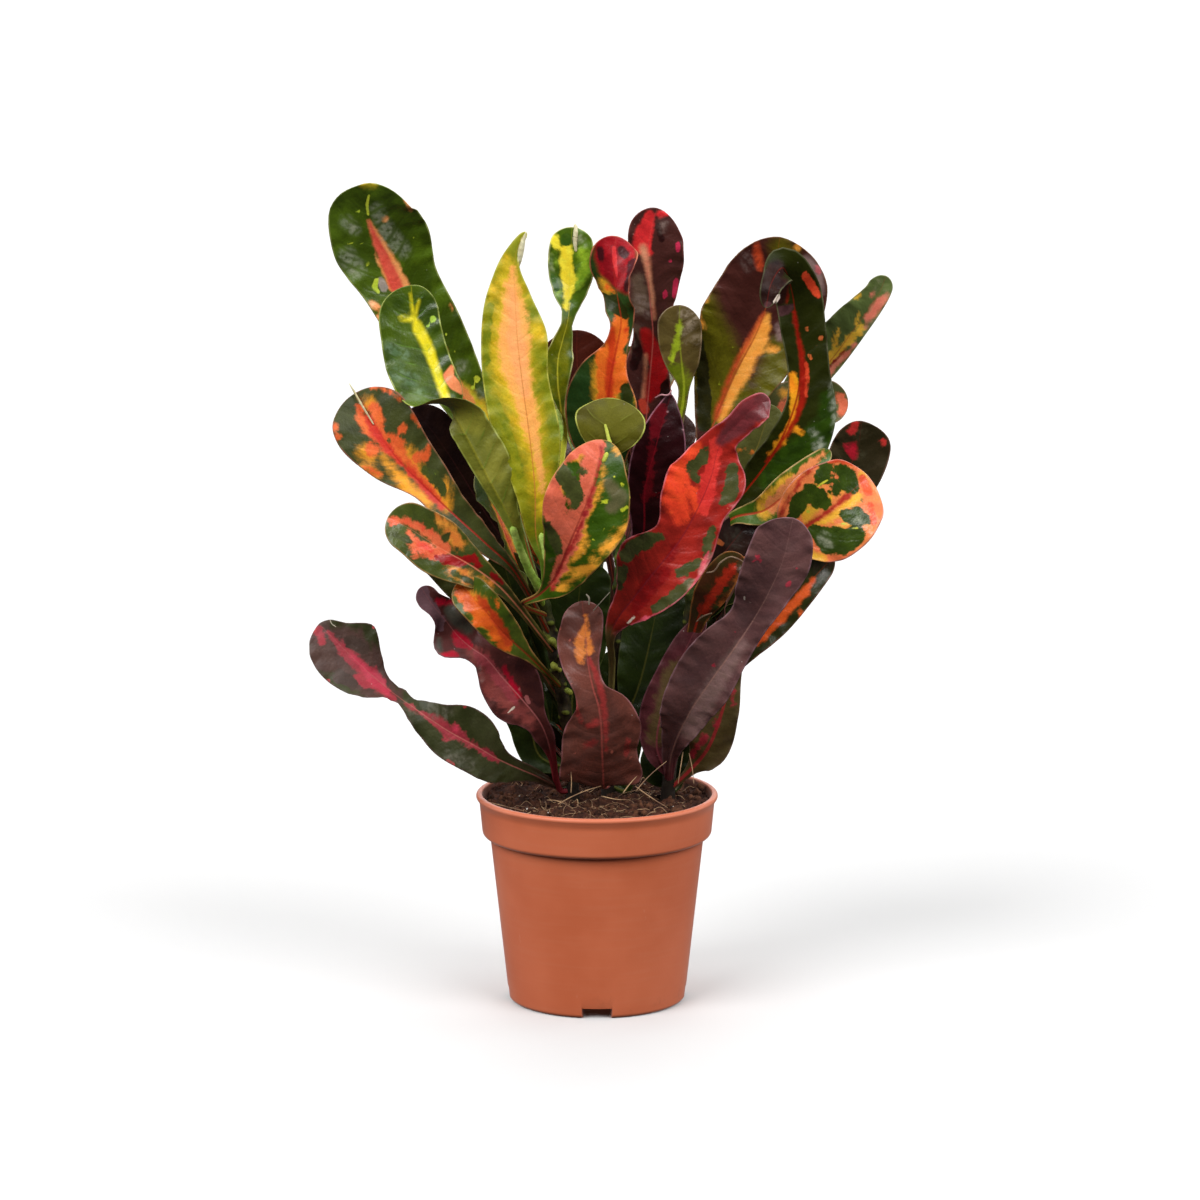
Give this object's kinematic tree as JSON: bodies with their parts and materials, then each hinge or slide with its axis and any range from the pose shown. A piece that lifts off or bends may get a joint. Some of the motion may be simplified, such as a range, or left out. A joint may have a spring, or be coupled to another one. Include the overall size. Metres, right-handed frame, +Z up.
{
  "type": "potted croton",
  "caption": "Bushy potted croton: several leafy stems with twisted, wavy, blotched leaves, rooted in soil in a round tapered plastic nursery pot with a deep rim band.",
  "frame": {"origin": "on the pot's vertical axis, at the surface that its foot ring stands on", "axes": "+Z up along the pot's axis, -Y the plant's front, +X the right as seen from the front"},
  "size_m": [0.2862, 0.1884, 0.4106],
  "materials": {
    "pot_plastic": "terracotta-coloured moulded polypropylene, matt with a faint sheen",
    "soil": "moist crumbly peat with root fibres",
    "foliage": "glossy leathery leaves, green blotched with yellow, orange, red and maroon"
  },
  "bodies": {
    "root": {"pot": "pot_plastic", "soil": "soil", "leafy_stem_left": "foliage", "leafy_stem_middle": "foliage", "leafy_stem_right": "foliage", "leafy_stem_back": "foliage"}
  },
  "joints": []
}
